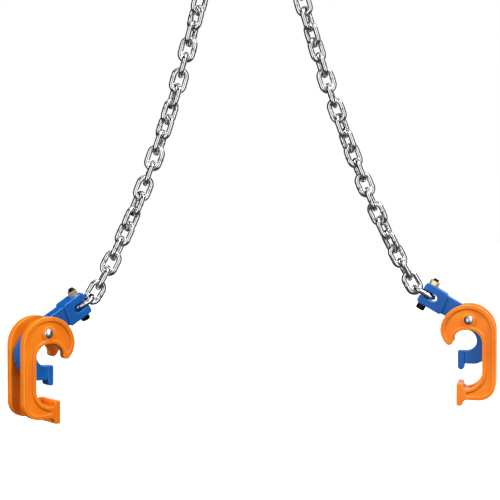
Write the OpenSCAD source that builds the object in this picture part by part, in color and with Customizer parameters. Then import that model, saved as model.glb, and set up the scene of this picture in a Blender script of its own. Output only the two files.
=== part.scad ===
// Two-leg chain sling with a rim clamp on each leg, for lifting a steel drum upright.
// +Z is up. The origin is the crane hook's seat, inside the top of the master ring.
// Both chain legs hang in the XZ plane, and -Y is the front.
// A leg is worked out on the left side, and the right leg is its mirror image with its own angles.

/* [Master ring] */
// Wire diameter of the master ring
ring_wire = 13; // [11:0.5:16]
// Inner width of the master ring
ring_inner_w = 60; // [54:1:80]
// Inner length of the master ring
ring_inner_l = 110; // [100:1:150]
// Angle from the ring's lowest point to each leg's seat
ring_seat_angle = 22; // [20:1:28]

/* [End links] */
// Wire diameter of an end link
end_wire = 9; // [8:0.1:9.2]
// Inner width of an end link
end_inner_w = 20; // [18:0.5:28]
// Inner length of an end link
end_inner_l = 54; // [45:1:80]

/* [Chain] */
// Wire diameter of a chain link
link_wire = 7; // [6.5:0.1:7.2]
// Inner width of a chain link
link_inner_w = 9.8; // [9.6:0.1:11]
// Length of chain that each link adds
link_pitch = 21; // [20.5:0.1:24]
// Gap between linked wires in the slack chain
link_gap = 0.3; // [0.2:0.05:0.5]
// Links in each run of chain
links_per_run = 5; // [4:1:6]
// Runs of chain in each leg
runs_per_leg = 6; // [5:1:7]
// Whole turns that a slack leg winds over its length
chain_turns = 1; // [0:1:1]

/* [Hanging angles] */
// Left leg's lean from upright at the ring, in degrees
left_top_lean = 10.8; // [9:0.1:15]
// Right leg's lean from upright at the ring, in degrees
right_top_lean = 13.5; // [9:0.1:15]
// Lean of both legs from upright at the fork, in degrees
fork_lean = 31.5; // [28:0.5:36]
// Turn of the left clamp about the vertical, in degrees
left_yaw = 33.4; // [20:0.1:40]
// Turn of the right clamp about the vertical, in degrees
right_yaw = 24; // [20:0.1:40]

/* [Clamp body] */
// Radius of the round head
head_r = 36; // [35:0.5:39]
// Depth of the head's centre below the pivot
head_drop = 15.7; // [14:0.1:17]
// Distance of the head's centre from the pivot, toward the drum
head_reach = 0.75; // [0.5:0.05:1]
// Radius of the head where it rounds into the nose
nose_side_r = 30; // [29.5:0.1:30.5]
// Distance of that round's centre from the pivot, toward the drum
nose_side_reach = 6.8; // [6.6:0.1:7]
// Depth of that round's centre below the pivot
nose_side_drop = 11.8; // [11.5:0.1:12.1]
// Width of the upright bar
bar_w = 17.5; // [15:0.5:20]
// Radius of the mouth's round top
mouth_r = 17.2; // [16:0.1:18]
// Depth of the mouth's centre below the pivot
mouth_drop = 30.2; // [29:0.1:31.5]
// Width of the flat at the top of the mouth
mouth_flat = 4; // [3:0.1:4.5]
// Inner radius where the bar bends into the lower arm
bend_r = 23.2; // [20:0.1:24]
// Depth of that bend's centre below the pivot
bend_drop = 68.2; // [60:0.1:76]
// Outer radius of that bend
corner_r = 22; // [16:0.5:30]
// Height of the lower arm
lower_arm_h = 13.9; // [12:0.1:18]
// Radius of the nose's tip
nose_r = 5.5; // [5:0.1:6]
// Angle of the nose's tip below the centre of its round
nose_angle = 41.5; // [39:0.5:44]
// Thickness of a cheek
cheek_t = 9.5; // [8:0.1:12]
// Gap between the two cheeks
cheek_gap = 23; // [21:0.5:26]
// Distance of the foot's face from the pivot
foot_reach = 15.1; // [14:0.1:20]
// Thickness of the foot pad
foot_t = 8; // [6.5:0.1:8.5]
// Height of the foot pad above the lower arm
foot_above = 7.2; // [6.5:0.1:10]
// Depth of the foot pad below the lower arm
foot_below = 7.9; // [6:0.1:10]
// Radius of the foot pad's back edges
foot_edge_r = 2.5; // [2:0.1:3]
// Radius of the fillet between the lower arm's top and the foot pad
foot_fillet_r = 4; // [3:0.1:4.5]
// Length of the web that joins the cheeks behind the foot pad
web_l = 7; // [6:0.1:9]
// Depth of the recessed panel on each cheek
panel_depth = 1.8; // [1:0.1:2.5]
// Width of the raised rim along the outer edge
outer_rim = 5.5; // [4:0.1:6]
// Width of the raised rim along the mouth
inner_rim = 4.5; // [3:0.1:5]
// Radius of the raised boss round the pivot
boss_r = 9; // [8:0.1:10]

/* [Pivot pin] */
// Diameter of the pivot pin
pin_d = 10; // [8:0.1:11]
// Diameter of its domed heads
pin_head_d = 12.5; // [12:0.1:15]
// Height of its domed heads
pin_head_h = 3; // [2:0.1:4]
// Radial clearance of the pin in the cheeks and the hub
pin_fit = 0.05; // [0.03:0.01:0.1]

/* [Jaw] */
// Thickness of the jaw
jaw_t = 16; // [13:0.5:18]
// Radius of the hub round the pin
hub_r = 11; // [9:0.5:12]
// Side clearance of the hub between the cheeks
hub_fit = 0.3; // [0.2:0.05:0.5]
// Radius of the jaw's back
jaw_back_r = 33; // [32:0.5:34]
// Depth of the centre of the jaw's back below the pivot
jaw_back_drop = 27; // [26.5:0.1:27.5]
// Radius of the jaw's round inside
jaw_mouth_r = 14; // [12:0.5:15]
// Depth of the jaw's round inside below the pivot
jaw_mouth_drop = 28; // [27:0.5:30]
// Distance of the jaw's round inside from the pivot, toward the drum
jaw_mouth_reach = 4; // [2:0.5:5]
// Depth of the jaw's lower edge below the pivot
jaw_drop = 59; // [56:0.5:59]
// Width of the gripping tooth
tooth_w = 8.9; // [7:0.1:10]
// Distance of the tooth's front from the pivot
tooth_reach = 14.7; // [13:0.1:17]
// Depth of the tooth's tip below the pivot
tooth_drop = 67.2; // [65:0.1:68]
// Width and depth of the groove behind the tooth
groove = 1.4; // [1:0.1:2]
// Radius of the tooth's front edges
tooth_edge_r = 3.5; // [2:0.1:4]

/* [Fork] */
// Angle of the arm above level, in degrees
arm_angle = 30; // [27:0.5:34]
// Distance from the pivot to the fork bolt
arm_l = 63.3; // [62:0.1:70]
// Width of the arm
arm_w = 25; // [20:0.5:27]
// Thickness of the arm
arm_t = 17; // [16:0.5:19]
// Width of the fork
fork_w = 29; // [28:0.5:32]
// Thickness of the fork
fork_t = 22.4; // [21:0.1:22.4]
// Length of the fork behind the bolt, along its top
fork_root = 22; // [20:0.1:24]
// Length of the fork behind the bolt, along its bottom
fork_root_low = 26; // [24:0.1:28]
// Length of the shoulder where the arm widens into the fork
shoulder_l = 2; // [1:0.1:4]
// Length of the fork past the bolt
fork_tip = 9; // [8:0.1:9.5]
// Corner radius of the fork's prongs
prong_r = 4; // [2:0.1:4.5]
// Width of the fork's slot
slot_w = 10; // [9:0.1:11]
// Depth of the slot behind the bolt
slot_depth = 14.2; // [12.5:0.1:15]

/* [Fork bolt] */
// Diameter of the fork bolt
bolt_d = 8; // [7:0.1:8.5]
// Diameter of its round head
bolt_head_d = 12; // [11:0.1:13]
// Height of its head
bolt_head_h = 8; // [6:0.1:8.5]
// Width of the socket in its head across the flats
socket_flats = 6; // [5:0.1:6.5]
// Depth of that socket
socket_depth = 4; // [3:0.1:5]
// Width of its nut across the flats
nut_flats = 12; // [11.5:0.1:13]
// Height of its nut
nut_h = 6.5; // [5:0.1:8]
// Length of bolt past the nut
bolt_tip = 3.2; // [2:0.1:6]
// Radial clearance of the bolt in the fork and the nut
bolt_fit = 0.1; // [0.05:0.01:0.2]

/* [Hidden] */
$fn = 64;
left = 0;
right = 1;
SIDES = ["left", "right"];
link_count = links_per_run * runs_per_leg;

// Paint and metal as seen
orange = [0.94, 0.5, 0.12];
blue = [0.1, 0.36, 0.72];
zinc = [0.78, 0.79, 0.8];
chrome = [0.86, 0.87, 0.89];
black = [0.1, 0.1, 0.1];
brass = [0.76, 0.62, 0.3];

// Clamp outline, measured from the pivot: across toward the drum, then up
head_at = [head_reach, -head_drop];
nose_side_at = [nose_side_reach, -nose_side_drop];
bar_outer = head_at.x - head_r;
bar_inner = bar_outer + bar_w;
mouth_at = [bar_inner + mouth_r, -mouth_drop];
mouth_far_at = mouth_at + [mouth_flat, 0];
bend_at = [bar_inner + bend_r, -bend_drop];
arm_top = -bend_drop - bend_r;
arm_bottom = arm_top - lower_arm_h;
nose_dir = [cos(nose_angle), -sin(nose_angle)];
// The tip stands out of its round by a hair, so that the two arcs cross
nose_lip = 0.15;
nose_at = nose_side_at + (nose_side_r - nose_r + nose_lip) * nose_dir;
nose_far = nose_side_at + 3 * head_r * nose_dir;
foot_back = foot_reach - foot_t;
foot_low_fillet_r = foot_below - foot_edge_r;
clamp_w = cheek_gap + 2 * cheek_t;

// Jaw and fork
jaw_back_at = [0, -jaw_back_drop];
jaw_mouth_at = [jaw_mouth_reach, -jaw_mouth_drop];
hub_w = cheek_gap - 2 * hub_fit;
// Cuts reach this far past the faces that they pass through
past = 1;
far = 4 * head_r;

function pick(s, l, r) = s == left ? l : r;
function top_lean(s) = pick(s, left_top_lean, right_top_lean);
function yaw(s) = pick(s, left_yaw, right_yaw);
function cot(a) = 1 / tan(a);
function unit(v) = v / norm(v);
function half_turns_off(a) = a - 180 * round(a / 180);

// Distance between the centres of two wires where one hangs in the other
function seat(wire_a, wire_b) = (wire_a + wire_b) / 2 + link_gap;

// Direction up a leg that leans by an angle toward the middle
function up_leg(lean) = [sin(lean), 0, cos(lean)];

// A slack chain's lean: its cotangent grows evenly along the chain
function lean(s, k) = atan(1 / (cot(top_lean(s)) + (cot(fork_lean) - cot(top_lean(s))) * k / (link_count - 1)));

// Distance between the two crown wires of a link
function crown_span(inner_l, wire) = inner_l + wire;
link_inner_l = link_pitch + link_gap;
link_span = crown_span(link_inner_l, link_wire);
end_span = crown_span(end_inner_l, end_wire);

// Middle of the wire at an end link's upper crown, where it hangs on the ring
ring_bend_r = (ring_inner_w + ring_wire) / 2;
ring_low = ring_inner_w / 2 - ring_inner_l;
end_crown = [0, 0, ring_low]
    - (ring_bend_r - seat(ring_wire, end_wire)) * [sin(ring_seat_angle), 0, cos(ring_seat_angle)];

// Middle of the wire at link k's upper crown, counted down from 0
function crown(s, k) = k == 0
    ? end_crown - (end_span - seat(end_wire, link_wire)) * up_leg(top_lean(s))
    : crown(s, k - 1) - link_pitch * up_leg(lean(s, k - 1));

// The arm's direction, the bolt's axis and the direction of the link on the bolt
function arm_dir(s) = [cos(yaw(s)) * cos(arm_angle), sin(yaw(s)) * cos(arm_angle), sin(arm_angle)];
function bolt_dir(s) = [-cos(yaw(s)) * sin(arm_angle), -sin(yaw(s)) * sin(arm_angle), cos(arm_angle)];
function plate_dir(s) = [sin(yaw(s)), -cos(yaw(s)), 0];
function last_dir(s) = unit(up_leg(fork_lean) - (up_leg(fork_lean) * bolt_dir(s)) * bolt_dir(s));
function last_turn(s) = atan2(last_dir(s) * arm_dir(s), last_dir(s) * plate_dir(s));
function bolt_at(s) = crown(s, link_count - 1) - (link_span - seat(bolt_d, link_wire)) * last_dir(s);
function pin_at(s) = bolt_at(s) - arm_l * arm_dir(s);

// Each link is turned a quarter on from the last, and a little more, up to the one that crosses the lowest
function bolt_roll(s) = atan2(-bolt_dir(s) * [cos(fork_lean), 0, -sin(fork_lean)], bolt_dir(s).y);
function twist(s) = (360 * chain_turns + half_turns_off(bolt_roll(s) - 90 * (link_count - 1))) / (link_count - 2);
function roll(s, k) = k * (90 + twist(s));

module on_side(s) {
    if (s == left) children();
    else mirror([1, 0, 0]) children();
}

// Clamp frame: X toward the drum, Y up, Z along the pivot, origin on the pivot
module in_clamp(s) {
    translate(pin_at(s)) rotate([0, 0, yaw(s)]) rotate([90, 0, 0]) children();
}

// Fork frame: X out along the arm, Y along the bolt, Z along the pivot, origin on the bolt
module in_fork(s) {
    in_clamp(s) rotate([0, 0, arm_angle]) translate([arm_l, 0, 0]) children();
}

// A welded link, standing in the XZ plane with its middle at the origin
module oval_link(wire, inner_w, inner_l) {
    bend_r = (inner_w + wire) / 2;
    straight = inner_l - inner_w;
    for (end = [0, 180]) rotate([0, end, 0]) {
        translate([0, 0, straight / 2]) rotate([90, 0, 0])
            rotate_extrude(angle = 180) translate([bend_r, 0]) circle(d = wire);
        translate([bend_r, 0, -straight / 2]) cylinder(d = wire, h = straight);
    }
}

module master_ring() {
    color(zinc) translate([0, 0, -ring_inner_l / 2]) oval_link(ring_wire, ring_inner_w, ring_inner_l);
}

module end_link(s) {
    color(zinc) translate(end_crown) rotate([0, top_lean(s), 0]) rotate([0, 0, 90])
        translate([0, 0, -end_span / 2]) oval_link(end_wire, end_inner_w, end_inner_l);
}

module chain_link() {
    oval_link(link_wire, link_inner_w, link_inner_l);
}

// Link k hangs from the link above it, and the lowest stands on the fork bolt
module hung_link(s, k) {
    if (k < link_count - 1)
        translate(crown(s, k)) rotate([0, lean(s, k), 0]) rotate([0, 0, roll(s, k)])
            translate([0, 0, -link_span / 2]) chain_link();
    else
        in_fork(s) rotate([0, last_turn(s), 0])
            translate([0, 0, link_span / 2 - seat(bolt_d, link_wire)]) chain_link();
}

module chain_run(s, run) {
    first = (run - 1) * links_per_run;
    color(zinc) for (k = [first : first + links_per_run - 1]) hung_link(s, k);
}

// The open throat of the clamp, grown by a margin
module throat(margin) {
    nose_shift = margin * [sin(nose_angle), cos(nose_angle)];
    polygon([
        [bar_inner - margin, mouth_at.y], mouth_at, mouth_far_at, nose_at + nose_shift, nose_far + nose_shift,
        [nose_far.x, arm_top - margin], [bend_at.x, arm_top - margin],
        bend_at, [bar_inner - margin, bend_at.y]
    ]);
    for (at = [mouth_at, mouth_far_at]) translate(at) circle(mouth_r + margin);
    translate(mouth_at) square([mouth_flat, mouth_r + margin]);
    translate(bend_at) circle(bend_r + margin);
}

// The corner left between two walls and a round of radius r
module corner(r) {
    difference() {
        square(r);
        translate([r, r]) circle(r);
    }
}

// The round head, with a tighter round where its lower half turns into the nose
module head(margin) {
    intersection() {
        translate(head_at) circle(head_r - margin);
        union() {
            translate(nose_side_at) circle(nose_side_r - margin);
            translate([-far, -far]) square([far, 2 * far]);
            translate([-far, -nose_side_drop]) square([2 * far, far]);
        }
    }
}

// A cheek's outline, drawn in by one margin at its outer edge and another at its throat
module cheek_outline(outer, inner) {
    difference() {
        union() {
            head(outer);
            difference() {
                translate([bar_outer + outer, arm_bottom + outer])
                    square([foot_back - inner - bar_outer - outer, head_at.y - arm_bottom - outer]);
                translate([bar_outer + outer, arm_bottom + outer]) corner(corner_r - outer);
            }
        }
        throat(inner);
    }
}

// A cheek with its raised rim and pivot boss, outer face up
module cheek() {
    difference() {
        linear_extrude(cheek_t) {
            cheek_outline(0, 0);
            translate(nose_at) circle(nose_r);
            foot_fillets();
        }
        translate([0, 0, cheek_t - panel_depth]) linear_extrude(panel_depth + past) difference() {
            cheek_outline(outer_rim, inner_rim);
            circle(boss_r);
        }
        translate([0, 0, -past]) cylinder(r = pin_d / 2 + pin_fit, h = cheek_t + 2 * past);
    }
}

module foot_fillets() {
    translate([foot_back, arm_top]) mirror([1, 0]) corner(foot_fillet_r);
    translate([foot_back, arm_bottom]) mirror([1, 0]) mirror([0, 1]) corner(foot_low_fillet_r);
}

// The foot pad's side outline, with its back edges rounded
module foot_outline() {
    foot_bottom = arm_bottom - foot_below;
    foot_h = foot_above + lower_arm_h + foot_below;
    difference() {
        translate([foot_back, foot_bottom]) square([foot_t, foot_h]);
        translate([foot_back, foot_bottom]) corner(foot_edge_r);
        translate([foot_back, foot_bottom + foot_h]) mirror([0, 1]) corner(foot_edge_r);
    }
}

module clamp_body(s) {
    color(orange) in_clamp(s) {
        for (face = [0, 1]) mirror([0, 0, face]) translate([0, 0, cheek_gap / 2]) cheek();
        translate([0, 0, -clamp_w / 2]) linear_extrude(clamp_w) foot_outline();
        translate([foot_back - web_l, arm_bottom, -cheek_gap / 2]) cube([web_l, lower_arm_h, cheek_gap]);
    }
}

// Half section of a rivet: a shank that ends in a domed head
module rivet_half() {
    dome_r = (pin_head_h ^ 2 + (pin_head_d / 2) ^ 2) / (2 * pin_head_h);
    square([pin_d / 2, clamp_w / 2]);
    intersection() {
        translate([0, clamp_w / 2]) square([pin_head_d / 2, pin_head_h]);
        translate([0, clamp_w / 2 + pin_head_h - dome_r]) circle(dome_r);
    }
}

module pivot_pin(s) {
    color(chrome) in_clamp(s)
        for (face = [0, 1]) mirror([0, 0, face]) rotate_extrude() rivet_half();
}

// The jaw's crescent round the rim, open toward the drum
module crescent_outline() {
    difference() {
        intersection() {
            translate(jaw_back_at) circle(jaw_back_r);
            translate([-far, -jaw_drop]) square([far + jaw_mouth_at.x, far]);
        }
        translate(jaw_mouth_at) circle(jaw_mouth_r);
    }
    ledge_top = jaw_mouth_at.y - jaw_mouth_r;
    translate([jaw_mouth_at.x, -jaw_drop])
        square([tooth_reach - tooth_w / 2 - jaw_mouth_at.x, jaw_drop + ledge_top]);
}

// The tooth below the crescent: round at its tip, with its front edges eased
module tooth() {
    back = tooth_reach - tooth_w;
    ledge_top = jaw_mouth_at.y - jaw_mouth_r;
    intersection() {
        linear_extrude(jaw_t, center = true) {
            translate([back, -tooth_drop + tooth_w / 2])
                square([tooth_w, tooth_drop + ledge_top - tooth_w / 2]);
            translate([back + tooth_w / 2, -tooth_drop + tooth_w / 2]) circle(tooth_w / 2);
        }
        translate([0, -tooth_drop - past, 0]) rotate([-90, 0, 0]) linear_extrude(tooth_drop + 2 * past)
            difference() {
                translate([back, -jaw_t / 2]) square([tooth_w, jaw_t]);
                for (edge = [0, 1]) mirror([0, edge])
                    translate([tooth_reach, -jaw_t / 2]) mirror([1, 0]) corner(tooth_edge_r);
            }
    }
}

// The fork's outline in the fork frame: a slanted shoulder at the arm, and a tip with round corners
module fork_outline(top_root, low_root, arm_side, fork_side) {
    corner_x = fork_tip - prong_r;
    corner_y = fork_side / 2 - prong_r;
    polygon([
        [-low_root - shoulder_l, -arm_side / 2], [-low_root, -fork_side / 2], [corner_x, -fork_side / 2],
        [corner_x, fork_side / 2], [-top_root, fork_side / 2], [-top_root - shoulder_l, arm_side / 2]
    ]);
    translate([corner_x, -corner_y]) square([prong_r, 2 * corner_y]);
    for (edge = [-1, 1]) translate([corner_x, edge * corner_y]) circle(prong_r);
}

module fork() {
    difference() {
        intersection() {
            linear_extrude(fork_t, center = true) fork_outline(fork_root, fork_root_low, arm_w, fork_w);
            rotate([90, 0, 0]) linear_extrude(fork_w + 2 * past, center = true)
                fork_outline(arm_l, arm_l, fork_t, fork_t);
        }
        translate([0, 0, -fork_t / 2 - past]) linear_extrude(fork_t + 2 * past) {
            translate([slot_w / 2 - slot_depth, 0]) circle(slot_w / 2);
            translate([slot_w / 2 - slot_depth, -slot_w / 2]) square([slot_depth + fork_tip, slot_w]);
        }
        rotate([90, 0, 0]) cylinder(r = bolt_d / 2 + bolt_fit, h = fork_w + 2 * past, center = true);
    }
}

module jaw(s) {
    color(blue) in_clamp(s) difference() {
        union() {
            linear_extrude(jaw_t, center = true) crescent_outline();
            tooth();
            cylinder(r = hub_r, h = hub_w, center = true);
            rotate([0, 0, arm_angle]) {
                translate([0, -arm_w / 2, -arm_t / 2]) cube([arm_l - fork_root + past, arm_w, arm_t]);
                translate([arm_l, 0, 0]) fork();
            }
        }
        cylinder(r = pin_d / 2 + pin_fit, h = hub_w + 2 * past, center = true);
        for (face = [0, 1]) mirror([0, 0, face])
            translate([tooth_reach - tooth_w - groove, -jaw_drop - past, jaw_t / 2 - groove])
                cube([groove, jaw_drop + jaw_mouth_at.y - jaw_mouth_r + past - groove, groove + past]);
    }
}

// A hexagon of the given height along Z, with both rims chamfered
module chamfered_hex(flats, h) {
    corners_d = flats / cos(30);
    chamfer = (corners_d - flats) / 2;
    intersection() {
        cylinder(d = corners_d, h = h, $fn = 6);
        rotate_extrude() polygon([
            [0, 0], [flats / 2, 0], [corners_d / 2, chamfer],
            [corners_d / 2, h - chamfer], [flats / 2, h], [0, h]
        ]);
    }
}

module fork_bolt(s) {
    shank_l = fork_w + nut_h + bolt_tip;
    color(black) in_fork(s) rotate([-90, 0, 0]) translate([0, 0, -fork_w / 2]) difference() {
        union() {
            translate([0, 0, -bolt_head_h]) cylinder(d = bolt_head_d, h = bolt_head_h);
            cylinder(d = bolt_d, h = shank_l);
        }
        translate([0, 0, -bolt_head_h - past])
            cylinder(d = socket_flats / cos(30), h = socket_depth + past, $fn = 6);
    }
}

module fork_nut(s) {
    color(brass) in_fork(s) rotate([-90, 0, 0]) translate([0, 0, fork_w / 2]) difference() {
        chamfered_hex(nut_flats, nut_h);
        translate([0, 0, -past]) cylinder(r = bolt_d / 2 + bolt_fit, h = nut_h + 2 * past);
    }
}

master_ring();
for (s = [left, right]) on_side(s) {
    end_link(s);
    clamp_body(s);
    pivot_pin(s);
    jaw(s);
    fork_bolt(s);
    fork_nut(s);
    for (run = [1:runs_per_leg])
        chain_run(s, run);
}
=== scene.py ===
"""Looks for a two-leg chain sling with rim clamps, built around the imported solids.

The part's own sizes are in millimetres. The camera, the materials and the studio are in metres.
"""
import math

import bmesh
import bpy
import numpy as np
from mathutils import Matrix, Vector


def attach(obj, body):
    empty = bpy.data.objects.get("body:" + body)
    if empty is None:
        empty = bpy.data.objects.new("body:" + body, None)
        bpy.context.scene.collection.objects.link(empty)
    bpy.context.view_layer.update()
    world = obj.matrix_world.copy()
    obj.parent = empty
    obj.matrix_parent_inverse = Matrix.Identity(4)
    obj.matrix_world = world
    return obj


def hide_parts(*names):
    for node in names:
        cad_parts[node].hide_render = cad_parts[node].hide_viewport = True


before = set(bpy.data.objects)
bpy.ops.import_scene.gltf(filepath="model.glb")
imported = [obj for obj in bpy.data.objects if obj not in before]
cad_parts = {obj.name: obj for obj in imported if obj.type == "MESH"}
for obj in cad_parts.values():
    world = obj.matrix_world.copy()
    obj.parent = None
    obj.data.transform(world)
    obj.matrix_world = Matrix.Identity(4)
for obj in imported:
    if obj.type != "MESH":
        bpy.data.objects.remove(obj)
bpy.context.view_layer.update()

MM = 0.001
SIDES = ("left", "right")
scene = bpy.context.scene
rad = math.radians

# The photograph's view, found from the pins, bolts, cheeks and chain in it
CAMERA_AZIMUTH, CAMERA_ELEVATION = -8.272, 1.468
CAMERA_TARGET = Vector((0.00382, 0.0, -0.6767))
CAMERA_DISTANCE = 1.3113
CAMERA_LENS, SENSOR_W = 71.9, 36.0
CLIP_NEAR, CLIP_FAR = 0.01, 100.0


def toward(azimuth, elevation):
    """The direction from the part to a place round it; azimuth 0 is in front, 90 at the right."""
    a, e = rad(azimuth), rad(elevation)
    return Vector((math.sin(a) * math.cos(e), -math.cos(a) * math.cos(e), math.sin(e)))


def look_from(direction):
    """The turn of a camera or lamp that stands in this direction and faces the part."""
    return (-direction).to_track_quat("-Z", "Y").to_euler()


def make_camera():
    back = toward(CAMERA_AZIMUTH, CAMERA_ELEVATION)
    data = bpy.data.cameras.new("camera")
    data.lens, data.sensor_width = CAMERA_LENS, SENSOR_W
    data.clip_start, data.clip_end = CLIP_NEAR, CLIP_FAR
    cam = bpy.data.objects.new("camera", data)
    cam.location = CAMERA_TARGET + CAMERA_DISTANCE * back
    cam.rotation_euler = look_from(back)
    scene.collection.objects.link(cam)
    scene.camera = cam


make_camera()

# Sizes shared with the solids, in millimetres and degrees; a pair is for the left and the right side
RING_WIRE, RING_W, RING_L, RING_SEAT = 13.0, 60.0, 110.0, 22.0
END_WIRE, END_W, END_L = 9.0, 20.0, 54.0
LINK_WIRE, LINK_W, PITCH, GAP = 7.0, 9.8, 21.0, 0.3
PER_RUN, RUNS, TURNS = 5, 6, 1
TOP_LEAN, FORK_LEAN, YAW = (10.8, 13.5), 31.5, (33.4, 24.0)
ARM_ANGLE, ARM_L = 30.0, 63.3
CLAMP_W = 42.0
PIN_D, PIN_HEAD_D, PIN_HEAD_H = 10.0, 12.5, 3.0
FORK_W = 29.0
BOLT_D, BOLT_HEAD_D, BOLT_HEAD_H, BOLT_TIP = 8.0, 12.0, 8.0, 3.2
SOCKET_FLATS, SOCKET_DEPTH = 6.0, 4.0
NUT_FLATS, NUT_H = 12.0, 6.5
LINKS = PER_RUN * RUNS


def unit(v):
    return v / np.linalg.norm(v)


def cot(a):
    return 1 / math.tan(rad(a))


def seat(a, b):
    """The distance between the middles of two wires that hang in each other, with play."""
    return (a + b) / 2 + GAP


def up_leg(lean):
    return np.array([math.sin(rad(lean)), 0.0, math.cos(rad(lean))])


def across_leg(lean):
    return np.array([math.cos(rad(lean)), 0.0, -math.sin(rad(lean))])


def leg(s):
    """Where a leg's links, bolt and pin are, as on the left side, in millimetres.

    A link is given by its middle, its long axis and its normal.
    """
    def lean(k):
        top = cot(TOP_LEAN[s])
        return math.degrees(math.atan(1 / (top + (cot(FORK_LEAN) - top) * k / (LINKS - 1))))

    link_l = PITCH + GAP
    span, end_span = link_l + LINK_WIRE, END_L + END_WIRE
    low = np.array([0, 0, RING_W / 2 - RING_L])
    end_crown = low - ((RING_W + RING_WIRE) / 2 - seat(RING_WIRE, END_WIRE)) * up_leg(RING_SEAT)
    crowns = [end_crown - (end_span - seat(END_WIRE, LINK_WIRE)) * up_leg(TOP_LEAN[s])]
    for k in range(1, LINKS):
        crowns.append(crowns[-1] - PITCH * up_leg(lean(k - 1)))

    y, a = rad(YAW[s]), rad(ARM_ANGLE)
    arm = np.array([math.cos(y) * math.cos(a), math.sin(y) * math.cos(a), math.sin(a)])
    bolt = np.array([-math.cos(y) * math.sin(a), -math.sin(y) * math.sin(a), math.cos(a)])
    plate = np.array([math.sin(y), -math.cos(y), 0.0])
    along = np.array([math.cos(y), math.sin(y), 0.0])

    # The last link lies square to the bolt, and the others share the twist that leads to it
    d = up_leg(FORK_LEAN)
    last = unit(d - d.dot(bolt) * bolt)
    roll = math.degrees(math.atan2(-bolt.dot(across_leg(FORK_LEAN)), bolt[1])) - 90 * (LINKS - 1)
    twist = (360 * TURNS + roll - 180 * round(roll / 180)) / (LINKS - 2)
    links = []
    for k in range(LINKS - 1):
        d = up_leg(lean(k))
        turned = rad(k * (90 + twist))
        normal = -math.sin(turned) * across_leg(lean(k)) + math.cos(turned) * np.array([0.0, 1.0, 0.0])
        links.append((crowns[k] - span / 2 * d, d, normal))
    links.append((crowns[-1] - span / 2 * last, last, bolt))

    bolt_at = crowns[-1] - (span - seat(BOLT_D, LINK_WIRE)) * last
    top = up_leg(TOP_LEAN[s])
    end = (end_crown - end_span / 2 * top, top, unit(np.cross([0, 1, 0], top)))
    return {"links": links, "end": end, "bolt_at": bolt_at, "pin_at": bolt_at - ARM_L * arm,
            "arm": arm, "bolt": bolt, "plate": plate, "along": along}


LEGS = [leg(s) for s in range(len(SIDES))]


def axes_matrix(x, y, z, at, s):
    """Local millimetres to the row frame in metres, mirrored for the right side."""
    m = np.eye(4)
    m[:3, 0], m[:3, 1], m[:3, 2], m[:3, 3] = x, y, z, at
    m[:3] *= MM
    m[3] = [0, 0, 0, 1]
    if s:
        m[0] *= -1
    return Matrix(m.tolist())


def pin_matrix(s):
    """The clamp's own axes at its pivot pin, with Z along the pin."""
    g = LEGS[s]
    return axes_matrix(g["along"], (0, 0, 1), g["plate"], g["pin_at"], s)


def set_mark(mesh, name, values):
    attr = mesh.attributes.new(name, "FLOAT", "POINT")
    attr.data.foreach_set("value", np.asarray(values, np.float32))


def link_mesh(name, mesh):
    """An object of this mesh, shaded smooth."""
    obj = bpy.data.objects.new(name, mesh)
    scene.collection.objects.link(obj)
    mesh.polygons.foreach_set("use_smooth", [True] * len(mesh.polygons))
    return obj


def place_mesh(mesh, matrix):
    mesh.transform(matrix)
    if matrix.determinant() < 0:
        mesh.flip_normals()


def add_mesh(name, verts, faces, matrix=None, weld=None):
    mesh = bpy.data.meshes.new(name)
    mesh.from_pydata([tuple(v) for v in verts], [], faces)
    if matrix is not None:
        place_mesh(mesh, matrix)
    mesh.update()
    if weld is not None:
        set_mark(mesh, "weld", weld)
    return link_mesh(name, mesh)


def ring_faces(pairs, around):
    """Quads between each pair of rings, which have the same number of points around."""
    faces = []
    for i, n in pairs:
        for j in range(around):
            k = (j + 1) % around
            faces.append((i * around + j, i * around + k, n * around + k, n * around + j))
    return faces


def crease(obj, degrees):
    """Edges sharper than this stay crisp."""
    obj.data.set_sharp_from_angle(angle=rad(degrees))


def finish_piece(obj, body, node, mat):
    obj.data.materials.clear()
    obj.data.materials.append(mat)
    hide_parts(node)
    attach(obj, body)


# Materials are built from nodes: each helper here adds some and gives what they put out
def start_material(name):
    mat = bpy.data.materials.new(name)
    mat.use_nodes = True
    tree = mat.node_tree
    bsdf = tree.nodes["Principled BSDF"]
    coords = tree.nodes.new("ShaderNodeTexCoord")
    return mat, tree, bsdf, coords.outputs["Object"]


def noise(tree, coords, scale, detail=2.0, roughness=0.5, distortion=0.0):
    node = tree.nodes.new("ShaderNodeTexNoise")
    node.inputs["Scale"].default_value = scale
    node.inputs["Detail"].default_value = detail
    node.inputs["Roughness"].default_value = roughness
    node.inputs["Distortion"].default_value = distortion
    tree.links.new(coords, node.inputs["Vector"])
    return node.outputs["Fac"]


def spread(tree, value, low, high, to_low, to_high):
    """A value between low and high is spread over to_low and to_high, and held there outside."""
    node = tree.nodes.new("ShaderNodeMapRange")
    tree.links.new(value, node.inputs["Value"])
    for key, v in (("From Min", low), ("From Max", high), ("To Min", to_low), ("To Max", to_high)):
        node.inputs[key].default_value = v
    return node.outputs["Result"]


def combine(tree, how, a, b):
    node = tree.nodes.new("ShaderNodeMath")
    node.operation = how
    for i, v in enumerate((a, b)):
        if isinstance(v, (int, float)):
            node.inputs[i].default_value = v
        else:
            tree.links.new(v, node.inputs[i])
    return node.outputs[0]


def add_share(tree, value, more, share):
    return combine(tree, "ADD", value, combine(tree, "MULTIPLY", more, share))


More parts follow.
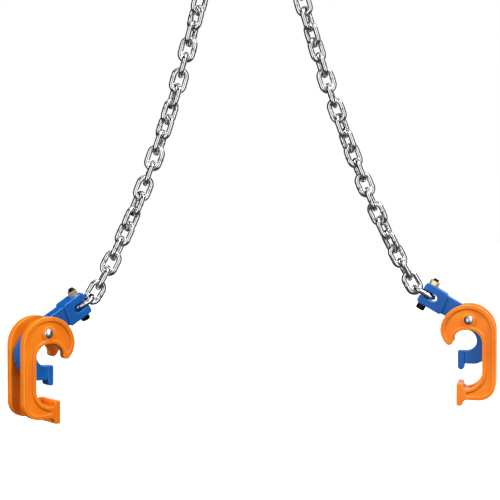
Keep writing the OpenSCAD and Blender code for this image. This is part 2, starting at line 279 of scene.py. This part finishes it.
def blend_colour(tree, factor, a, b):
    node = tree.nodes.new("ShaderNodeMix")
    node.data_type = "RGBA"
    tree.links.new(factor, node.inputs["Factor"])
    for key, v in (("A", a), ("B", b)):
        socket = [i for i in node.inputs if i.name == key and i.type == "RGBA"][0]
        if isinstance(v, tuple):
            socket.default_value = (*v, 1.0)
        else:
            tree.links.new(v, socket)
    return [o for o in node.outputs if o.type == "RGBA"][0]


def raise_surface(tree, height, distance, strength, normal=None):
    node = tree.nodes.new("ShaderNodeBump")
    node.inputs["Distance"].default_value = distance
    node.inputs["Strength"].default_value = strength
    tree.links.new(height, node.inputs["Height"])
    if normal is not None:
        tree.links.new(normal, node.inputs["Normal"])
    return node.outputs["Normal"]


def mark(tree, name):
    node = tree.nodes.new("ShaderNodeAttribute")
    node.attribute_name = name
    return node.outputs["Fac"]


# Noises as (scale per metre, detail, roughness, distortion), ranges as spread takes them, and bumps as
# (height in metres, strength)
DRIFT_NOISE, DRIFT_RANGE = (28, 3), (0.35, 0.65, 0, 1)
# The next two ranges give the painted shade in concave corners and the painted highlight on convex edges
CORNER_SHADE_RANGE, EDGE_HIGHLIGHT_RANGE = (-0.05, -0.6, 0, 0.55), (0.1, 0.8, 0, 0.7)
SPOT_NOISE, SPOT_RANGE = (260, 4, 0.65), (0.6, 0.68, 0, 1)
CHIP_EDGE_RANGE, CHIP_ROUGH, CHIP_BUMP = (0.45, 0.95, 0, 1), 0.3, (0.00015, 0.8)
GLOSS_NOISE, GLOSS_RANGE = (90, 3), (0.3, 0.7, 0.24, 0.36)
COAT_SHARE, COAT_ROUGH = 0.9, 0.08
PEEL_NOISE, PEEL_BUMP = (420, 2), (0.00012, 0.5)
CAST_NOISE, CAST_BUMP = (95, 3, 0.55), (0.0006, 0.35)


def paint(name, deep, full, pale, primer, shine):
    """Glossy enamel on a casting: orange peel, a little colour drift, chipped edges, a painted highlight
    on edges and painted shade in corners.
    """
    mat, tree, bsdf, coords = start_material(name)
    edge = mark(tree, "edge")
    drift = noise(tree, coords, *DRIFT_NOISE)
    colour = blend_colour(tree, spread(tree, drift, *DRIFT_RANGE), deep, full)
    # Painted shade: concave corners go over to the deeper colour
    corner_shade = spread(tree, edge, *CORNER_SHADE_RANGE)
    colour = blend_colour(tree, corner_shade, colour, deep)
    # Painted highlight: convex edges go over to the paler colour
    edge_highlight = spread(tree, edge, *EDGE_HIGHLIGHT_RANGE)
    colour = blend_colour(tree, edge_highlight, colour, pale)
    spots = noise(tree, coords, *SPOT_NOISE)
    worn = spread(tree, edge, *CHIP_EDGE_RANGE)
    chip = combine(tree, "MULTIPLY", worn, spread(tree, spots, *SPOT_RANGE))
    colour = blend_colour(tree, chip, colour, primer)
    tree.links.new(colour, bsdf.inputs["Base Color"])

    gloss = noise(tree, coords, *GLOSS_NOISE)
    rough = add_share(tree, spread(tree, gloss, *GLOSS_RANGE), chip, CHIP_ROUGH)
    tree.links.new(rough, bsdf.inputs["Roughness"])
    bsdf.inputs["Specular IOR Level"].default_value = shine
    bsdf.inputs["Coat Weight"].default_value = COAT_SHARE * shine
    bsdf.inputs["Coat Roughness"].default_value = COAT_ROUGH

    peel = noise(tree, coords, *PEEL_NOISE)
    cast = noise(tree, coords, *CAST_NOISE)
    normal = raise_surface(tree, cast, *CAST_BUMP)
    normal = raise_surface(tree, peel, *PEEL_BUMP, normal)
    normal = raise_surface(tree, combine(tree, "MULTIPLY", chip, -1.0), *CHIP_BUMP, normal)
    tree.links.new(normal, bsdf.inputs["Normal"])
    return mat


CLOUD_NOISE, CLOUD_RANGE, CLOUD_BUMP = (120, 4, 0.6), (0.3, 0.7, 0, 1), (0.0003, 0.25)
SHEEN_NOISE, SHEEN_RANGE = (210, 2, 0.5, 1.5), (0.45, 0.7, 0, 0.7)
WELD_RANGE, WELD_DARK, WELD_ROUGH = (0.2, 1.0, 0, 0.45), 0.55, 0.15
FINE_NOISE, FINE_SHARE, FINE_STRENGTH = (900, 3, 0.6), 0.5, 0.6
UNEVEN_LOW, UNEVEN_HIGH = 0.5, 1.0


def plated(name, dull, bright, rough, grain, metal=1.0, tint=None):
    """Plated steel: cloudy brightness, fine grain, and a dull ring where a weld was dressed."""
    mat, tree, bsdf, coords = start_material(name)
    bsdf.inputs["Metallic"].default_value = metal
    cloud = noise(tree, coords, *CLOUD_NOISE)
    colour = blend_colour(tree, spread(tree, cloud, *CLOUD_RANGE), dull, bright)
    if tint is not None:
        sheen = noise(tree, coords, *SHEEN_NOISE)
        colour = blend_colour(tree, spread(tree, sheen, *SHEEN_RANGE), colour, tint)
    weld = mark(tree, "weld")
    dark = tuple(WELD_DARK * c for c in dull)
    colour = blend_colour(tree, spread(tree, weld, *WELD_RANGE), colour, dark)
    tree.links.new(colour, bsdf.inputs["Base Color"])

    fine = noise(tree, coords, *FINE_NOISE)
    uneven = add_share(tree, cloud, fine, FINE_SHARE)
    uneven = spread(tree, uneven, UNEVEN_LOW, UNEVEN_HIGH, *rough)
    tree.links.new(add_share(tree, uneven, weld, WELD_ROUGH), bsdf.inputs["Roughness"])

    normal = raise_surface(tree, cloud, *CLOUD_BUMP)
    normal = raise_surface(tree, fine, grain, FINE_STRENGTH, normal)
    tree.links.new(normal, bsdf.inputs["Normal"])
    return mat


ORANGE = paint("orange_paint", deep=(0.74, 0.155, 0.002), full=(0.88, 0.218, 0.003),
               pale=(0.95, 0.35, 0.03), primer=(0.32, 0.2, 0.12), shine=0.19)
BLUE = paint("blue_paint", deep=(0.002, 0.075, 0.32), full=(0.006, 0.108, 0.42),
             pale=(0.03, 0.2, 0.58), primer=(0.1, 0.11, 0.13), shine=0.17)
ZINC = plated("zinc_chain", dull=(0.62, 0.63, 0.65), bright=(0.88, 0.89, 0.9),
              rough=(0.05, 0.15), grain=0.00003)
CHROME = plated("pin_chrome", dull=(0.66, 0.67, 0.7), bright=(0.8, 0.81, 0.83),
                rough=(0.27, 0.38), grain=0.00001)
BLACK = plated("black_bolt", dull=(0.012, 0.012, 0.013), bright=(0.035, 0.035, 0.037),
               rough=(0.3, 0.46), grain=0.00003)
YELLOW = plated("yellow_nut", dull=(0.7, 0.5, 0.22), bright=(0.95, 0.8, 0.48),
                rough=(0.14, 0.28), grain=0.00002, metal=0.65, tint=(0.8, 0.7, 0.42))


# Chain, ring and end links: round wire bent to an oval and butt welded on one side
WIRE_AROUND = 28
BEND_STEPS = 20
STRAIGHT_STEPS = 20
WELD_HALF = 1.7
WELD_RAISE = 0.32
WELD_RIPPLE, RIPPLE_WAVES, RIPPLE_SHIFT = 0.25, (3, 7), 1.3


def oval_path(bend_r, straight):
    """Points round the oval as (x, z, outward x, outward z, distance from the weld)."""
    def bend(t, z):
        return (bend_r * math.cos(t), z + bend_r * math.sin(t), math.cos(t), math.sin(t), math.inf)

    path = []
    for i in range(BEND_STEPS):
        path.append(bend(math.pi * i / BEND_STEPS, straight / 2))
    for i in range(STRAIGHT_STEPS):
        path.append((-bend_r, straight / 2 - straight * i / STRAIGHT_STEPS, -1.0, 0.0, math.inf))
    for i in range(BEND_STEPS):
        path.append(bend(math.pi * (1 + i / BEND_STEPS), -straight / 2))
    for i in range(STRAIGHT_STEPS):
        z = -straight / 2 + straight * i / STRAIGHT_STEPS
        path.append((bend_r, z, 1.0, 0.0, z))
    return path


def oval_rings(wire, inner_w, inner_l):
    """Rings of wire round the oval, in the XZ plane, with how much weld there is at each point."""
    path = oval_path((inner_w + wire) / 2, inner_l - inner_w)
    slow, fast = RIPPLE_WAVES
    verts, weld = [], []
    scale = wire / LINK_WIRE
    for x, z, ox, oz, along in path:
        bead = math.exp(-((along / (WELD_HALF * scale)) ** 2))
        for j in range(WIRE_AROUND):
            t = 2 * math.pi * j / WIRE_AROUND
            ripple = 1 + WELD_RIPPLE * math.sin(slow * t + RIPPLE_SHIFT) * math.sin(fast * t)
            r = wire / 2 + WELD_RAISE * scale * bead * ripple
            verts.append((x + r * math.cos(t) * ox, r * math.sin(t), z + r * math.cos(t) * oz))
            weld.append(bead)
    pairs = [(i, (i + 1) % len(path)) for i in range(len(path))]
    return np.array(verts), ring_faces(pairs, WIRE_AROUND), weld


def placed_links(name, links, wire, inner_w, inner_l, s):
    """Links at their places, with the weld on one side and the other by turns."""
    base, base_faces, base_weld = oval_rings(wire, inner_w, inner_l)
    verts, faces, weld = [], [], []
    for i, (middle, d, normal) in enumerate(links):
        side = np.cross(normal, d) * (1 if i % 2 else -1)
        front = np.cross(d, side)
        start = len(verts)
        verts.extend(middle + base[:, :1] * side + base[:, 1:2] * front + base[:, 2:] * d)
        faces.extend(tuple(start + v for v in f) for f in base_faces)
        weld.extend(base_weld)
    matrix = axes_matrix((1, 0, 0), (0, 1, 0), (0, 0, 1), (0, 0, 0), s)
    return add_mesh(name, verts, faces, matrix, weld)


ring_at = (np.array([0, 0, -RING_L / 2]), np.array([0, 0, 1.0]), np.array([0, 1.0, 0]))
ring = placed_links("hoist_ring", [ring_at], RING_WIRE, RING_W, RING_L, 0)
finish_piece(ring, "ring", "master_ring", ZINC)
for s, side in enumerate(SIDES):
    end = placed_links(f"{side}_top_link", [LEGS[s]["end"]], END_WIRE, END_W, END_L, s)
    finish_piece(end, f"{side}_end_link", f"{side}_end_link", ZINC)
    for run in range(RUNS):
        links = LEGS[s]["links"][run * PER_RUN:(run + 1) * PER_RUN]
        chain = placed_links(f"{side}_links_{run + 1}", links, LINK_WIRE, LINK_W, PITCH + GAP, s)
        finish_piece(chain, f"{side}_chain_{run + 1}", f"{side}_chain_{run + 1}", ZINC)


# Castings: the solid's own shape, remeshed finely and eased so that its edges are round as cast
BODY_VOXEL, JAW_VOXEL = 0.58, 0.55
EASE_PASSES, EASE_SHARE = 6, 0.5
EDGE_FULL = 0.22
MERGE_WITHIN = 1e-6


def joined_copy(mesh):
    """A copy of a solid's mesh whose faces share their corners."""
    copy = mesh.copy()
    bm = bmesh.new()
    bm.from_mesh(copy)
    bmesh.ops.remove_doubles(bm, verts=bm.verts, dist=MERGE_WITHIN)
    bm.to_mesh(copy)
    bm.free()
    return copy


def remeshed(mesh, voxel):
    """The mesh rebuilt from cells of this size; the mesh itself is used up."""
    rough = bpy.data.objects.new("rough", mesh)
    scene.collection.objects.link(rough)
    remesh = rough.modifiers.new("remesh", "REMESH")
    remesh.mode, remesh.voxel_size = "VOXEL", voxel
    graph = bpy.context.evaluated_depsgraph_get()
    fine = bpy.data.meshes.new_from_object(rough.evaluated_get(graph))
    bpy.data.objects.remove(rough)
    bpy.data.meshes.remove(mesh)
    return fine


def read_vectors(vertices, key):
    values = np.zeros(len(vertices) * 3)
    vertices.foreach_get(key, values)
    return values.reshape(-1, 3)


def ease(mesh):
    """Draws each point towards its neighbours and says how far it went in: 1 on edges, -1 in corners."""
    count = len(mesh.vertices)
    co = read_vectors(mesh.vertices, "co")
    normals = read_vectors(mesh.vertices, "normal")
    pairs = np.zeros(len(mesh.edges) * 2, np.int32)
    mesh.edges.foreach_get("vertices", pairs)
    a, b = pairs.reshape(-1, 2).T
    degree = np.bincount(a, minlength=count) + np.bincount(b, minlength=count)
    eased = co.copy()
    for _ in range(EASE_PASSES):
        total = np.stack([np.bincount(a, eased[b, i], count) + np.bincount(b, eased[a, i], count)
                          for i in range(3)], 1)
        eased += EASE_SHARE * (total / degree[:, None] - eased)
    mesh.vertices.foreach_set("co", eased.ravel())
    return np.clip(((co - eased) * normals).sum(1) / EDGE_FULL, -1, 1)


def casting(name, node, voxel, s):
    mesh = joined_copy(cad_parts[node].data)
    pose = pin_matrix(s)
    mesh.transform(pose.inverted())
    fine = remeshed(mesh, voxel)
    edge = ease(fine)
    place_mesh(fine, pose)
    set_mark(fine, "edge", edge)
    obj = link_mesh(name, fine)
    fine.update()
    return obj


for s, side in enumerate(SIDES):
    body = casting(f"{side}_cast_body", f"{side}_clamp_body", BODY_VOXEL, s)
    finish_piece(body, f"{side}_clamp", f"{side}_clamp_body", ORANGE)
    jaw = casting(f"{side}_cast_jaw", f"{side}_jaw", JAW_VOXEL, s)
    finish_piece(jaw, f"{side}_jaw", f"{side}_jaw", BLUE)


# Fasteners: rings of points stacked along Z, each ring with its own radius and height round the turn
AROUND = 72
TURN = np.arange(AROUND) * 2 * math.pi / AROUND


def stack(name, rings, matrix, closed=False):
    """Rings of (radius, height), each a number or a list round the turn.

    The ends close on a point, or on each other.
    """
    verts = []
    for r, z in rings:
        r, z = np.broadcast_to(r, AROUND), np.broadcast_to(z, AROUND)
        verts.extend(zip(r * np.cos(TURN), r * np.sin(TURN), z))
    last = len(rings) - 1
    pairs = [(i, i + 1) for i in range(last)]
    if closed:
        pairs.append((last, 0))
    faces = ring_faces(pairs, AROUND)
    if not closed:
        for i, flip in ((0, True), (last, False)):
            pole = len(verts)
            verts.append((0.0, 0.0, float(np.mean(rings[i][1]))))
            for j in range(AROUND):
                tri = (i * AROUND + j, i * AROUND + (j + 1) % AROUND, pole)
                faces.append(tri[::-1] if flip else tri)
    return add_mesh(name, verts, faces, matrix, [0.0] * len(verts))


# A hexagon's corners get sharper with HEX_POWER. Its end faces and the rims of their turned chamfers are
# shares of half the width across flats.
HEX_POWER = 48
HEX_FACE, HEX_RIM, HEX_CHAMFER = 0.955, 0.985, 0.55
RIM_RISE, CORNER_RISE = 0.03, 0.08


def hexagon(flats):
    """Radius of a hexagon with slightly rounded corners, round the turn."""
    total = sum(np.abs(np.cos(TURN - math.pi / 3 * i)) ** HEX_POWER for i in range(3))
    return flats / 2 * total ** (-1 / HEX_POWER)


def hex_rings(flats, low, high):
    """A hexagon's side with turned chamfers at both rims."""
    r = hexagon(flats)
    face, rim = flats / 2 * HEX_FACE, flats / 2 * HEX_RIM
    drop = HEX_CHAMFER * (r - rim)
    return [(face, low), (rim, low + RIM_RISE), (r, low + CORNER_RISE + drop),
            (r, high - CORNER_RISE - drop), (rim, high - RIM_RISE), (face, high)]


# The bolt's head: edges are (in from the radius, up from that end)
KNURL_TEETH, KNURL_DEPTH, KNURL_LOW, KNURL_HIGH = 36, 0.16, 0.85, 0.9
SOCKET_FLOOR, SOCKET_FILLET = 0.96, 0.2
SOCKET_LEAD, SOCKET_LEAD_H, SOCKET_LIP = 0.3, 0.35, 0.02
HEAD_LOW_EDGE = ((1.1, 0.0), (0.75, 0.06), (0.25, 0.5))
HEAD_TOP_EDGE = ((0.12, -0.6), (0.15, 0.0))


def socket_head_rings(low, high):
    """A round knurled head with a hexagon socket in its lower end."""
    r = BOLT_HEAD_D / 2
    knurl = r - KNURL_DEPTH * (0.5 + 0.5 * np.cos(TURN * KNURL_TEETH))
    socket = hexagon(SOCKET_FLATS)
    inside = [(socket * SOCKET_FLOOR, low + SOCKET_DEPTH), (socket, low + SOCKET_DEPTH - SOCKET_FILLET),
              (socket, low + SOCKET_LEAD_H), (socket + SOCKET_LEAD, low + SOCKET_LIP)]
    low_edge = [(r - inset, low + up) for inset, up in HEAD_LOW_EDGE]
    side = [(knurl, low + KNURL_LOW), (knurl, high - KNURL_HIGH)]
    top_edge = [(r - inset, high + up) for inset, up in HEAD_TOP_EDGE]
    return inside + low_edge + side + top_edge


THREAD_PITCH, THREAD_DEPTH, THREAD_STEPS = 1.25, 0.55, 8
THREAD_SLOPE, THREAD_CREST = 2.6, 0.15
TIP_EASE = 0.9


def thread_rings(radius, start, stop):
    """A right-hand thread from start to stop, run out over its first turn and turned down at its tip."""
    share = np.arange(AROUND) / AROUND
    rings = []
    z = start
    while z <= stop:
        phase = (z / THREAD_PITCH - share) % 1.0
        groove = np.clip(np.abs(phase - 0.5) * THREAD_SLOPE - THREAD_CREST, 0, 1)
        depth = THREAD_DEPTH * min(1.0, (z - start) / THREAD_PITCH)
        r = radius - depth * groove
        if stop - z < TIP_EASE:
            r = np.minimum(r, radius - TIP_EASE + (stop - z))
        rings.append((r, z))
        z += THREAD_PITCH / THREAD_STEPS
    return rings


PIN_PLAY, PIN_RIM, PIN_RIM_LOW, PIN_RIM_HIGH = 0.1, 0.1, 0.02, 0.2
DOME_STEPS, DOME_RISE = 12, 0.25


def pin_rings():
    """A plain shank with a domed head at each end."""
    half, r, h = CLAMP_W / 2, PIN_HEAD_D / 2, PIN_HEAD_H
    dome = (h * h + r * r) / (2 * h)
    rise = [(PIN_D / 2 - PIN_PLAY, half), (r - PIN_RIM, half + PIN_RIM_LOW), (r, half + PIN_RIM_HIGH)]
    for i in range(1, DOME_STEPS):
        x = r * (1 - i / DOME_STEPS)
        rise.append((x, half + h - dome + math.sqrt(dome * dome - x * x) + DOME_RISE))
    return [(x, -z) for x, z in reversed(rise)] + rise


SHANK_FILLET, SHANK_END, THREAD_START = 0.1, 1.0, 1.2


def bolt_rings():
    half, r = FORK_W / 2, BOLT_D / 2
    head = socket_head_rings(-half - BOLT_HEAD_H, -half)
    shank = [(r + SHANK_FILLET, -half), (r, -half + SHANK_FILLET), (r, half + SHANK_END)]
    return head + shank + thread_rings(r, half + THREAD_START, half + NUT_H + BOLT_TIP)


NUT_PLAY, NUT_LEAD = 0.1, 0.45


def nut_rings():
    low, high = FORK_W / 2, FORK_W / 2 + NUT_H
    bore = BOLT_D / 2 + NUT_PLAY
    inside = [(bore + NUT_LEAD, high), (bore, high - NUT_LEAD), (bore, low + NUT_LEAD)]
    return [(bore + NUT_LEAD, low)] + hex_rings(NUT_FLATS, low, high) + inside


DOME_CREASE, THREAD_CREASE = 50, 35
for s, side in enumerate(SIDES):
    pin = stack(f"{side}_domed_pin", pin_rings(), pin_matrix(s))
    crease(pin, DOME_CREASE)
    finish_piece(pin, f"{side}_clamp", f"{side}_pivot_pin", CHROME)

    g = LEGS[s]
    at_bolt = axes_matrix(g["plate"], g["arm"], g["bolt"], g["bolt_at"], s)
    bolt = stack(f"{side}_socket_bolt", bolt_rings(), at_bolt)
    crease(bolt, THREAD_CREASE)
    finish_piece(bolt, f"{side}_jaw", f"{side}_fork_bolt", BLACK)

    nut = stack(f"{side}_hex_nut", nut_rings(), at_bolt, closed=True)
    crease(nut, THREAD_CREASE)
    finish_piece(nut, f"{side}_jaw", f"{side}_fork_nut", YELLOW)


# Studio: a wide pale floor well below the clamps, walls that are bright at eye level, and soft light from
# the front, both sides and behind
FLOOR_Z, FLOOR_HALF = -1.3, 30.0
FLOOR_GREY, FLOOR_ROUGH, FLOOR_SHINE = 0.93, 0.8, 0.1
# Cards as (name, azimuth, half width in degrees, glow)
CARD_AWAY, CARD_LOW, CARD_HIGH = 6.0, -3.4, 3.0
CARD_STEPS, CARD_GREY = 12, 0.01
CARDS = (
    ("left_card", -115.5, 53.5, 0.0),
    ("right_card", 80.5, 34.5, 0.0),
    ("lens_card", -8, 13.0, 0.1),
    ("front_left_card", -41.5, 20.5, 1.4),
    ("front_right_card", 25.5, 20.5, 1.4),
    ("back_right_card", 143.5, 28.5, 0.75),
)
# Walls as (height from -1 straight down to 1 straight up, brightness)
WALL_LEVELS = (
    (-1.0, 0.06), (-0.36, 0.06), (-0.29, 1.0), (0.24, 1.0), (0.31, 0.05), (0.74, 0.05), (0.88, 0.7),
)
HEIGHT_RANGE = (-1, 1, 0, 1)
# Lights as (name, azimuth, elevation, width in degrees, strength, whether it shows in gloss)
SOFT_LIGHTS = (
    ("key", 37, 46, 25, 2.9, True),
    ("left_side", -72, 28, 30, 2.1, False),
    ("right_side", 110, 30, 30, 0.7, False),
    ("back", 178, 40, 35, 1.2, False),
)


def grey(level):
    return (level, level, level, 1.0)


def make_floor():
    corners = ((-1, -1), (1, -1), (1, 1), (-1, 1))
    verts = [(x * FLOOR_HALF, y * FLOOR_HALF, FLOOR_Z) for x, y in corners]
    floor = add_mesh("floor", verts, [(0, 1, 2, 3)])
    mat, _, bsdf, _ = start_material("pale_floor")
    bsdf.inputs["Base Color"].default_value = grey(FLOOR_GREY)
    bsdf.inputs["Roughness"].default_value = FLOOR_ROUGH
    bsdf.inputs["Specular IOR Level"].default_value = FLOOR_SHINE
    floor.data.materials.append(mat)
    floor.visible_diffuse = floor.visible_glossy = False


def gloss_card(name, azimuth, half_deg, glow):
    """A dark or glowing card beside the part, seen only in polished metal and gloss."""
    verts = []
    for i in range(CARD_STEPS + 1):
        a = rad(azimuth + half_deg * (2 * i / CARD_STEPS - 1))
        x, y = CARD_AWAY * math.sin(a), -CARD_AWAY * math.cos(a)
        verts += [(x, y, CARD_LOW), (x, y, CARD_HIGH)]
    faces = [(2 * i, 2 * i + 2, 2 * i + 3, 2 * i + 1) for i in range(CARD_STEPS)]
    card = add_mesh(name, verts, faces)
    mat, _, bsdf, _ = start_material(name)
    bsdf.inputs["Base Color"].default_value = grey(CARD_GREY)
    bsdf.inputs["Specular IOR Level"].default_value = 0.0
    bsdf.inputs["Emission Color"].default_value = grey(1.0)
    bsdf.inputs["Emission Strength"].default_value = glow
    card.data.materials.append(mat)
    card.visible_camera = card.visible_diffuse = card.visible_shadow = False


def make_world():
    """The walls' brightness by height."""
    world = bpy.data.worlds.new("studio")
    scene.world = world
    world.use_nodes = True
    tree = world.node_tree
    coords = tree.nodes.new("ShaderNodeTexCoord")
    split = tree.nodes.new("ShaderNodeSeparateXYZ")
    ramp = tree.nodes.new("ShaderNodeValToRGB")
    tree.links.new(coords.outputs["Generated"], split.inputs[0])
    tree.links.new(spread(tree, split.outputs["Z"], *HEIGHT_RANGE), ramp.inputs["Fac"])
    elements = ramp.color_ramp.elements
    while len(elements) < len(WALL_LEVELS):
        elements.new(0.5)
    for element, (height, level) in zip(list(elements), WALL_LEVELS):
        element.position = (height + 1) / 2
        element.color = grey(level)
    tree.links.new(ramp.outputs["Color"], tree.nodes["Background"].inputs["Color"])


def soft_sun(name, azimuth, elevation, width_deg, strength, shines):
    """A far, wide softbox: the same light over the whole floor."""
    data = bpy.data.lights.new(name, "SUN")
    data.energy, data.angle = strength, rad(width_deg)
    lamp = bpy.data.objects.new(name, data)
    lamp.rotation_euler = look_from(toward(azimuth, elevation))
    lamp.visible_glossy = shines
    scene.collection.objects.link(lamp)


make_floor()
make_world()
for card in CARDS:
    gloss_card(*card)
for light in SOFT_LIGHTS:
    soft_sun(*light)
scene.view_settings.view_transform = "Standard"
